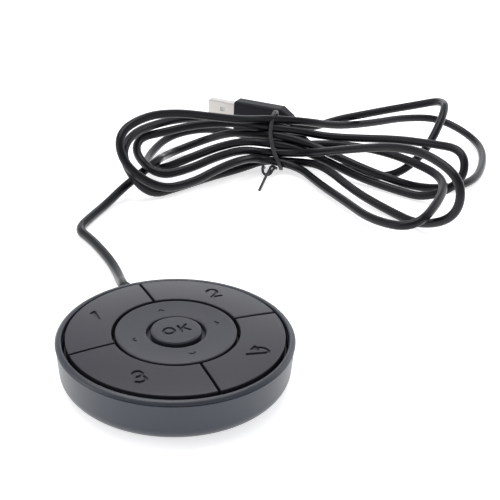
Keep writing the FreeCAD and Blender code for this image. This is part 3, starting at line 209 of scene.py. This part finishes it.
# Carved pieces: what is welded first and the height that rays start from, both in metres, and
# how their edges and normals are smoothed
WELD = 1e-6
RAY_FROM = 0.05
CARVED_SMOOTH = 28
NORMAL_WEIGHT = 80

# Floor: size in metres, colour, and the glow that the camera and that a mirror sees on it
FLOOR_SIZE = 2.5
FLOOR_CELLS = 8
FLOOR_COLOUR = (0.82, 0.82, 0.83, 1)
FLOOR_SEEN = 0.66
FLOOR_MIRRORED = 1.0

# Sky: the light that it gives, and what a mirror sees of it, which fades from white to SKY_DIM
# between the two heights, given as sines
SKY_COLOUR = (0.95, 0.97, 1.0, 1)
SKY_LIGHT = 0.45
SKY_MIRRORED = (0.93, 0.95, 1.0, 1)
SKY_BRIGHT_TO = 0.40
SKY_DIM_FROM = 0.66
SKY_DIM = 0.3
WHITE = (1, 1, 1, 1)

# Lamps: name, place, the place that it aims at, size, all in metres, and power in watts
LAMPS = [
    ("overhead", (0.05, 0.35, 1.1), (0.03, 0.05, 0), (1.0, 0.8), 9.0),
    ("left", (-1.0, 0.3, 0.55), (0, 0.05, 0), (0.6, 0.8), 2.2),
    ("right", (1.0, 0.25, 0.5), (0.05, 0.05, 0), (0.6, 0.8), 1.8),
    ("back", (0.66, 1.14, 0.4), (0.02, 0.03, 0), (0.9, 0.3), 1.3),
]


# Objects and meshes
def add(data, name):
    """A new object with its data, in the scene."""
    piece = bpy.data.objects.new(name, data)
    bpy.context.scene.collection.objects.link(piece)
    return piece


def mesh_from(body, name):
    """A mesh with a bmesh's faces. The bmesh is freed."""
    mesh = bpy.data.meshes.new(name)
    body.to_mesh(mesh)
    body.free()
    return mesh


def bridge(body, low, high):
    """Faces between two rings with the same count of corners."""
    for i in range(len(low)):
        j = (i + 1) % len(low)
        body.faces.new((low[i], low[j], high[j], high[i]))


def smooth_by_angle(mesh, degrees):
    """Smooth faces, with sharp edges where they meet at more than the angle."""
    limit = math.radians(degrees)
    work = bmesh.new()
    work.from_mesh(mesh)
    for face in work.faces:
        face.smooth = True
    for edge in work.edges:
        edge.smooth = len(edge.link_faces) == 2 and edge.calc_face_angle(0) < limit
    work.to_mesh(mesh)
    work.free()


def round_curve(name, radius, bevel):
    """An empty curve that is drawn as a round tube."""
    curve = bpy.data.curves.new(name, "CURVE")
    curve.dimensions = "3D"
    curve.bevel_depth = radius
    curve.bevel_resolution = bevel
    curve.use_fill_caps = True
    return curve


# Camera
def make_camera():
    data = bpy.data.cameras.new("camera")
    data.lens = CAMERA_LENS
    data.sensor_width = CAMERA_SENSOR
    data.clip_start, data.clip_end = CAMERA_CLIP
    camera = add(data, "camera")
    heading = Matrix.Rotation(math.radians(CAMERA_HEADING), 4, "Z")
    tilt = Matrix.Rotation(math.radians(90 + CAMERA_TILT), 4, "X")
    roll = Matrix.Rotation(math.radians(CAMERA_ROLL), 4, "Z")
    camera.matrix_world = Matrix.Translation(CAMERA_AT) @ heading @ tilt @ roll
    bpy.context.scene.camera = camera


# Cable
def slot(rank):
    """A slot in the hank's waist, in the hank's axes.

    The slots come in threes, the middle one of each behind the other two.
    """
    lean = math.radians(SLOT_LEAN)
    side = -SLOT_HALF if rank % 3 == 1 else SLOT_HALF
    stack = SLOT_START + SLOT_STEP * rank + SLOT_REST * (rank // 3)
    across = SLOT_BACK + stack * math.cos(lean) - side * math.sin(lean)
    up = SLOT_LOW + stack * math.sin(lean) + side * math.cos(lean)
    return Vector((0, across, up))


def way_from_hank(p):
    return Matrix.Rotation(math.radians(HANK_HEADING), 3, "Z") @ p


def from_hank(p):
    return way_from_hank(p) + Vector((HANK_X, HANK_Y, 0))


def to_hank(p):
    return Matrix.Rotation(-math.radians(HANK_HEADING), 3, "Z") @ (p - Vector((HANK_X, HANK_Y, 0)))


def plug_way():
    h = math.radians(PLUG_HEADING)
    return Vector((math.cos(h), math.sin(h), 0))


def plug_entry():
    return Vector((PLUG_X, PLUG_Y, PLUG_H / 2))


def loop_end(row):
    """Where a half loop ends: in its slot, or one cable's width ahead of the plug."""
    if row[2] is None:
        return to_hank(plug_entry() - plug_way() * CABLE_D / MM)
    return slot(row[2])


def half_loop(row, t):
    """A place on a half loop, in the hank's axes, from its start at t = 0 to its end at 1."""
    side, first, last, high, reach, out, back, yaw, curl, roll, tip, rise_out, rise_back = row
    a = slot(first)
    b = loop_end(row)
    turn = 2 * math.pi * t
    away = (1 - math.cos(turn)) / 2
    spread = out if t <= 0.5 else back
    rise = rise_out if t <= 0.5 else rise_back
    yaw = math.radians(yaw)
    roll = math.radians(roll)
    wide = high * spread * math.sin(turn) * math.sin(turn / 2) ** 2 * SPREAD_UNIT
    blend = t * t * (3 - 2 * t)
    across = wide * math.cos(roll) + curl * away ** 2
    x = side * (reach * away * math.cos(yaw) - across * math.sin(yaw)) + a.x + (b.x - a.x) * blend
    y = reach * away * math.sin(yaw) + across * math.cos(yaw) + a.y + (b.y - a.y) * blend
    z = (a.z + (b.z - a.z) * blend) * (1 - away) + (FLOOR_LIE + tip) * away
    z += wide * math.sin(roll) + rise * 4 * away * (1 - away)
    # what would sink below the table settles on it
    z = FLOOR_LIE + math.log(1 + math.exp(FLOOR_SOFT * (z - FLOOR_LIE))) / FLOOR_SOFT
    return Vector((x, y, z))


def hank_nodes():
    """Places and directions along the hank, in the puck's axes."""
    found = []
    for row in HALF_LOOPS:
        found.append((from_hank(slot(row[1])), way_from_hank(Vector((row[0], 0, 0)))))
        for t in LOOP_NODES:
            ahead = from_hank(half_loop(row, t + LOOP_STEP))
            behind = from_hank(half_loop(row, t - LOOP_STEP))
            found.append((from_hank(half_loop(row, t)), (ahead - behind).normalized()))
    found.append((from_hank(loop_end(HALF_LOOPS[-1])), plug_way()))
    # a strand crosses the waist on its way from one half loop to the next
    for i in range(0, len(found) - 1, len(LOOP_NODES) + 1):
        place, way = found[i]
        before = found[i - 1][0] if i else place - way_from_hank(Vector((LEAD_IN_RUN, 0, 0)))
        across = (found[i + 1][0] - before).normalized()
        found[i] = (place, way.lerp(across, SLOT_CROSS).normalized())
    return found


def cable_points():
    """The cable's control points in metres: the free stretch, then two for each hank node."""
    exit_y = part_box("strain_relief")[1].y / MM
    points = [Vector((0, exit_y, EXIT_Z))]
    points += [Vector(p) for p in LEAD_ROUTE]
    for run in (LEAD_IN_RUN + LEAD_END_RUN, LEAD_IN_RUN):
        points.append(from_hank(slot(LEAD_IN_SLOT) + Vector((-run, 0, 0))))
    waypoints = hank_nodes()
    for i, (place, way) in enumerate(waypoints):
        before = points[-1] if i == 0 else waypoints[i - 1][0]
        points.append(place - way * LEG_SHARE * (place - before).length)
        if i + 1 < len(waypoints):
            after = waypoints[i + 1][0]
            points.append(place + way * LEG_SHARE * (after - place).length)
    points.append(plug_entry())
    return [p * MM for p in points]


def make_cable():
    """The whole cable from the puck to the plug, and the place where it leaves the puck."""
    points = cable_points()
    # the points carry the cable's radius, so that the box round the curve is a true one
    curve = round_curve("cable", 1.0, CABLE_BEVEL)
    spline = curve.splines.new("NURBS")
    spline.points.add(len(points) - 1)
    for control, p in zip(spline.points, points):
        control.co = (p.x, p.y, p.z, 1)
        control.radius = CABLE_D / 2
    spline.order_u = 3
    spline.use_endpoint_u = True
    spline.resolution_u = CABLE_STEPS
    cable = add(curve, "cable")
    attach(cable, "case")
    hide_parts("cable_lead", "cable_hank")
    return cable, points[0]


# Tie
def tie_path():
    """Places round the strands in the waist, and each one's outward way, in the hank's axes."""
    corners = [slot(rank) for rank in (0, 1, SLOT_COUNT - 2, SLOT_COUNT - 1)]
    reach = CABLE_D / MM / 2 + TIE_GAP + TIE_T / 2
    around = []
    for i, corner in enumerate(corners):
        ahead = corners[(i + 1) % len(corners)]
        start, end = [math.atan2(-run.y, run.z) for run in (corner - corners[i - 1],
                                                            ahead - corner)]
        sweep = (end - start) % (2 * math.pi)
        for k in range(TIE_CORNER_STEPS + 1):
            a = start + sweep * k / TIE_CORNER_STEPS
            out = Vector((0, math.cos(a), math.sin(a)))
            around.append((corner + out * reach, out))
        straight = max(1, round((ahead - corner).length / TIE_STEP))
        for k in range(1, straight):
            around.append((corner.lerp(ahead, k / straight) + out * reach, out))
    lean = math.radians(SLOT_LEAN)
    up = Vector((0, math.cos(lean), math.sin(lean)))
    back = Vector((0, math.sin(lean), -math.cos(lean)))
    middle = (corners[0] + corners[-1]) / 2
    half = max(abs((place - middle).dot(up)) for place, out in around)
    path = []
    for place, out in around:
        high = (place - middle).dot(up) / half
        front = min(1, max(0, 0.5 - (place - middle).dot(back) / TIE_FADE))
        along = TIE_AT - TIE_TURN * high - TIE_BOW * (1 - high * high) * front
        lift = TIE_LIFT * (1 + high) / 2
        path.append((place + Vector((along, 0, 0)) + out * lift, out))
    return path


def rounded(share, size):
    """One side of the band's section, from the sine or cosine of its bearing."""
    return math.copysign(abs(share) ** (2 / TIE_ROUND), share) * size / 2


def tie_band(body):
    """A band of oval section round the waist."""
    path = tie_path()
    rings = []
    for i, (place, out) in enumerate(path):
        way = path[(i + 1) % len(path)][0] - path[i - 1][0]
        wide = way.cross(out).normalized()
        rise = wide.cross(way).normalized()
        ring = []
        for k in range(TIE_SIDES):
            a = 2 * math.pi * k / TIE_SIDES
            u = rounded(math.cos(a), TIE_W)
            v = rounded(math.sin(a), TIE_T)
            ring.append(body.verts.new(from_hank(place + wide * u + rise * v) * MM))
        rings.append(ring)
    for i, ring in enumerate(rings):
        bridge(body, ring, rings[(i + 1) % len(rings)])


def wire_mesh():
    """The tie's two wire ends as one mesh."""
    curve = round_curve("wires", WIRE_R * MM, WIRE_BEVEL)
    for places in WIRES:
        spline = curve.splines.new("BEZIER")
        spline.bezier_points.add(len(places) - 1)
        for knot, place in zip(spline.bezier_points, places):
            knot.co = from_hank(Vector(place)) * MM
            knot.handle_left_type = "AUTO"
            knot.handle_right_type = "AUTO"
        spline.resolution_u = WIRE_STEPS
    wires = add(curve, "wires")
    bpy.context.view_layer.update()
    mesh = bpy.data.meshes.new_from_object(wires)
    bpy.data.objects.remove(wires)
    return mesh


def make_tie():
    body = bmesh.new()
    body.from_mesh(wire_mesh())
    tie_band(body)
    bmesh.ops.recalc_face_normals(body, faces=body.faces)
    mesh = mesh_from(body, "tie")
    tie = add(mesh, "tie")
    smooth_by_angle(mesh, TIE_SMOOTH)
    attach(tie, "case")
    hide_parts("hank_tie")
    return tie


# Materials
def node_with(tree, kind, values):
    """A new shader node with the values of some of its inputs."""
    node = tree.nodes.new(kind)
    for name, value in values.items():
        node.inputs[name].default_value = value
    return node


def finish_of(name, colour, roughness, grain, bump, metallic=0.0, vary=0.06, specular=0.5):
    """A moulded or plated finish: a fine grain in its gloss and relief, and a slow change of
    tone over the surface."""
    material = bpy.data.materials.new(name)
    material.use_nodes = True
    tree = material.node_tree
    link = tree.links.new
    shader = tree.nodes["Principled BSDF"]
    shader.inputs["Metallic"].default_value = metallic
    shader.inputs["Specular IOR Level"].default_value = specular
    place = tree.nodes.new("ShaderNodeTexCoord").outputs["Object"]

    slow = node_with(tree, "ShaderNodeTexNoise",
                     {"Scale": 1 / (TONE_SIZE * MM), "Detail": TONE_DETAIL})
    link(place, slow.inputs["Vector"])
    tone = tree.nodes.new("ShaderNodeMix")
    tone.data_type = "RGBA"
    tone.inputs["A"].default_value = [c * (1 - vary) for c in colour] + [1]
    tone.inputs["B"].default_value = [min(1, c * (1 + vary)) for c in colour] + [1]
    link(slow.outputs["Fac"], tone.inputs["Factor"])
    link(tone.outputs["Result"], shader.inputs["Base Color"])

    fine = node_with(tree, "ShaderNodeTexNoise",
                     {"Scale": 1 / (grain * MM), "Detail": GRAIN_DETAIL})
    link(place, fine.inputs["Vector"])
    gloss = node_with(tree, "ShaderNodeMapRange", {"To Min": roughness * (1 - GLOSS_CHANGE),
                                                   "To Max": roughness * (1 + GLOSS_CHANGE)})
    link(fine.outputs["Fac"], gloss.inputs["Value"])
    link(gloss.outputs["Result"], shader.inputs["Roughness"])
    relief = node_with(tree, "ShaderNodeBump", {"Strength": BUMP_STRENGTH, "Distance": bump * MM})
    link(fine.outputs["Fac"], relief.inputs["Height"])
    link(relief.outputs["Normal"], shader.inputs["Normal"])
    return material


def dress_nodes(materials):
    """Every CAD node takes the finish of its slot in the record."""
    for part in frame["record"]["subparts"]:
        mesh = nodes[part["node"]].data
        mesh.materials.clear()
        mesh.materials.append(materials[part["material_slot"]])


# Engraved signs. Each is a list of strokes, and a stroke is the places that it goes through.
def bow(x, y, rx, ry, start, end, count):
    """Places along an arc of an ellipse, by bearing in degrees."""
    steps = [math.radians(start + (end - start) * i / count) for i in range(count + 1)]
    return [(x + rx * math.cos(a), y + ry * math.sin(a)) for a in steps]


def sign_one():
    return [[(-1.1, 1.75), (0.0, 2.42)], [(0.0, 2.42), (0.0, -2.42)]]


def sign_two():
    top = bow(0.0, 0.98, 1.55, 1.45, 165, -38, 18)
    return [top + [(-1.6, -2.42)], [(-1.6, -2.42), (1.7, -2.42)]]


def sign_three():
    top = bow(0.0, 1.2, 1.35, 1.22, 150, -90, 16)
    low = bow(0.0, -1.22, 1.55, 1.2, 90, -152, 18)
    return [top, low, [(-0.5, -0.02), (0.0, -0.02)]]


def sign_return():
    """A hooked arrow. The strokes of its head overlap and fill it."""
    run = [(0.1, 1.15), (0.97, 1.13), (1.6, 0.9), (2.15, 0.43), (2.65, -0.3), (2.85, -0.95),
           (2.55, -1.5), (1.95, -1.74), (1.17, -1.75), (-3.72, -0.87)]
    tip, top, low, middle = (-1.5, 1.05), (0.05, 1.95), (0.05, 0.3), (-0.4, 1.1)
    return [run, [tip, top], [top, low], [low, tip], [tip, middle]]


def sign_ok():
    """The letters O, in two halves, and K."""
    halves = [bow(-2.15, 0.05, 1.6, 1.5, start, start + 180, 16) for start in (0, 180)]
    stem = [(1.15, 1.62), (1.15, -1.55)]
    arm = [(3.5, 1.62), (1.25, -0.25)]
    leg = [(2.05, 0.42), (3.75, -1.55)]
    return halves + [stem, arm, leg]


def direction_mark():
    return [[(-0.75, -0.35), (0.0, 0.35)], [(0.0, 0.35), (0.75, -0.35)]]


def round_end(place, normal, half, start):
    """Places round one end of a stroke, from start in radians past its normal's bearing."""
    bearing = math.atan2(normal.y, normal.x) + start
    turns = [bearing - math.pi * k / CAP_STEPS for k in range(1, CAP_STEPS)]
    return [place + Vector((math.cos(a), math.sin(a))) * half for a in turns]


def outline(points, half):
    """The rim of a round-ended stroke of the given half width."""
    sides = []
    for i, p in enumerate(points):
        a = Vector(points[max(i - 1, 0)])
        b = Vector(points[min(i + 1, len(points) - 1)])
        way = (b - a).normalized()
        sides.append((Vector(p), Vector((-way.y, way.x))))
    left = [p + n * half for p, n in sides]
    right = [p - n * half for p, n in reversed(sides)]
    return left + round_end(*sides[-1], half, 0) + right + round_end(*sides[0], half, math.pi)


def height_over(surface, x, y):
    """Height of the part's top surface, in metres."""
    hit = surface.ray_cast(Vector((x, y, RAY_FROM)), Vector((0, 0, -1)))
    return hit[0].z


def stroke_cutter(points, surface, centre, degrees, half, depth):
    """A closed body that carves one stroke, following the surface below the sign."""
    turn = Matrix.Rotation(math.radians(degrees), 2)
    levels = [(-depth, half * SIGN_TAPER), (-SIGN_LIP, half),
              (SIGN_ABOVE, half + SIGN_LIP + SIGN_ABOVE)]
    body = bmesh.new()
    rings = []
    for level, width in levels:
        ring = []
        for p in outline(points, width):
            q = turn @ p + Vector(centre)
            x = q.x * MM
            y = q.y * MM
            ring.append(body.verts.new((x, y, height_over(surface, x, y) + level * MM)))
        rings.append(ring)
    for low, high in zip(rings, rings[1:]):
        bridge(body, low, high)
    body.faces.new(rings[0])
    body.faces.new(list(reversed(rings[-1])))
    bmesh.ops.recalc_face_normals(body, faces=body.faces)
    return add(mesh_from(body, "cutter"), "cutter")


def engraved(node, name, signs):
    """A copy of a CAD node, on the body of the same name, with signs carved into its top.

    Each sign is its strokes, centre, turn, half width and depth.
    """
    source = nodes[node].data
    work = bmesh.new()
    work.from_mesh(source)
    bmesh.ops.remove_doubles(work, verts=work.verts, dist=WELD)
    surface = BVHTree.FromBMesh(work)
    mesh = mesh_from(work, name)
    mesh.materials.append(source.materials[0])
    piece = add(mesh, name)
    cutters = [stroke_cutter(points, surface, *placing)
               for strokes, *placing in signs for points in strokes]
    for cutter in cutters:
        step = piece.modifiers.new("carve", "BOOLEAN")
        step.operation = "DIFFERENCE"
        step.solver = "EXACT"
        step.object = cutter
    graph = bpy.context.evaluated_depsgraph_get()
    carved = bpy.data.meshes.new_from_object(piece.evaluated_get(graph))
    piece.modifiers.clear()
    piece.data = carved
    for cutter in cutters:
        bpy.data.objects.remove(cutter)
    smooth_by_angle(carved, CARVED_SMOOTH)
    flat = piece.modifiers.new("even_normals", "WEIGHTED_NORMAL")
    flat.keep_sharp = True
    flat.weight = NORMAL_WEIGHT
    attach(piece, node)
    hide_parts(node)


def make_signs():
    keys = [
        ("key_1", sign_one(), (-18.2, 16.9)),
        ("key_2", sign_two(), (18.6, 16.9)),
        ("key_3", sign_three(), (-17.4, -17.8)),
        ("key_back", sign_return(), (17.3, -17.8)),
    ]
    for node, strokes, centre in keys:
        signs = [(strokes, centre, 0, SIGN_HALF, SIGN_DEPTH)]
        engraved(node, node + "_cap", signs)
    engraved("ok_button", "ok_cap",
             [(sign_ok(), (0.0, 0.0), 0, OK_HALF, SIGN_DEPTH)])
    marks = []
    for i in range(MARK_COUNT):
        degrees = 360 * i / MARK_COUNT
        a = math.radians(90 + degrees)
        centre = (MARK_AT_R * math.cos(a), MARK_AT_R * math.sin(a))
        marks.append((direction_mark(), centre, degrees, MARK_HALF, MARK_DEPTH))
    engraved("nav_ring", "nav_ring_marked", marks)


# Floor, world and lamps
def reckoned(tree, operation, first, second):
    """What a maths node makes of one output and either another output or a number."""
    node = tree.nodes.new("ShaderNodeMath")
    node.operation = operation
    tree.links.new(first, node.inputs[0])
    if isinstance(second, float):
        node.inputs[1].default_value = second
    else:
        tree.links.new(second, node.inputs[1])
    return node.outputs[0]


def seen(tree, camera, mirror):
    """One level for camera rays and another for glossy and transmission rays, 0 for the rest."""
    rays = tree.nodes.new("ShaderNodeLightPath").outputs
    total = reckoned(tree, "MULTIPLY", rays["Is Camera Ray"], camera)
    for name in ("Is Glossy Ray", "Is Transmission Ray"):
        level = reckoned(tree, "MULTIPLY", rays[name], mirror)
        total = reckoned(tree, "MAXIMUM", total, level)
    return total


def joined(tree, kind, *sources):
    """A new shader node with the sources in its inputs."""
    node = tree.nodes.new(kind)
    for source, target in zip(sources, node.inputs):
        tree.links.new(source, target)
    return node


def make_floor():
    work = bmesh.new()
    bmesh.ops.create_grid(work, x_segments=FLOOR_CELLS, y_segments=FLOOR_CELLS, size=FLOOR_SIZE)
    mesh = mesh_from(work, "floor")
    floor = add(mesh, "floor")
    material = bpy.data.materials.new("floor_paper")
    material.use_nodes = True
    tree = material.node_tree
    tree.nodes.clear()
    paper = node_with(tree, "ShaderNodeBsdfDiffuse", {"Color": FLOOR_COLOUR})
    glow = tree.nodes.new("ShaderNodeEmission")
    tree.links.new(seen(tree, FLOOR_SEEN, FLOOR_MIRRORED), glow.inputs["Strength"])
    both = joined(tree, "ShaderNodeAddShader", paper.outputs[0], glow.outputs[0])
    joined(tree, "ShaderNodeOutputMaterial", both.outputs[0])
    mesh.materials.append(material)


def make_world():
    """White for the camera. Mirrored, it is white at the horizon and dim overhead."""
    world = bpy.data.worlds.new("studio")
    world.use_nodes = True
    bpy.context.scene.world = world
    tree = world.node_tree
    tree.nodes.clear()
    light = node_with(tree, "ShaderNodeBackground", {"Color": SKY_COLOUR, "Strength": SKY_LIGHT})
    white = node_with(tree, "ShaderNodeBackground", {"Color": WHITE, "Strength": 1.0})
    mirrored = node_with(tree, "ShaderNodeBackground", {"Color": SKY_MIRRORED})
    way = tree.nodes.new("ShaderNodeTexCoord").outputs["Generated"]
    split = tree.nodes.new("ShaderNodeSeparateXYZ")
    tree.links.new(way, split.inputs[0])
    fade = node_with(tree, "ShaderNodeMapRange", {"From Min": SKY_BRIGHT_TO,
                                                  "From Max": SKY_DIM_FROM,
                                                  "To Min": 1.0, "To Max": SKY_DIM})
    fade.interpolation_type = "SMOOTHSTEP"
    tree.links.new(split.outputs["Z"], fade.inputs["Value"])
    tree.links.new(fade.outputs["Result"], mirrored.inputs["Strength"])
    unseen = joined(tree, "ShaderNodeMixShader", seen(tree, 0.0, 1.0),
                    light.outputs[0], mirrored.outputs[0])
    mix = joined(tree, "ShaderNodeMixShader", seen(tree, 1.0, 0.0),
                 unseen.outputs[0], white.outputs[0])
    joined(tree, "ShaderNodeOutputWorld", mix.outputs[0])


def make_lights():
    for name, place, aim, size, power in LAMPS:
        data = bpy.data.lights.new(name, "AREA")
        data.shape = "RECTANGLE"
        data.size, data.size_y = size
        data.energy = power
        lamp = add(data, name)
        lamp.location = place
        lamp.rotation_mode = "QUATERNION"
        lamp.rotation_quaternion = (Vector(aim) - Vector(place)).to_track_quat("-Z", "Y")


make_camera()
cable, exit_at = make_cable()
materials = {name: finish_of(name, *finish) for name, finish in FINISHES.items()}
dress_nodes(materials)
tie = make_tie()
cable.data.materials.append(materials["cable_sheath"])
tie.data.materials.append(materials["tie_sheath"])
make_signs()
make_floor()
make_world()
make_lights()
bpy.context.scene.view_settings.view_transform = "Standard"

bpy.context.view_layer.update()
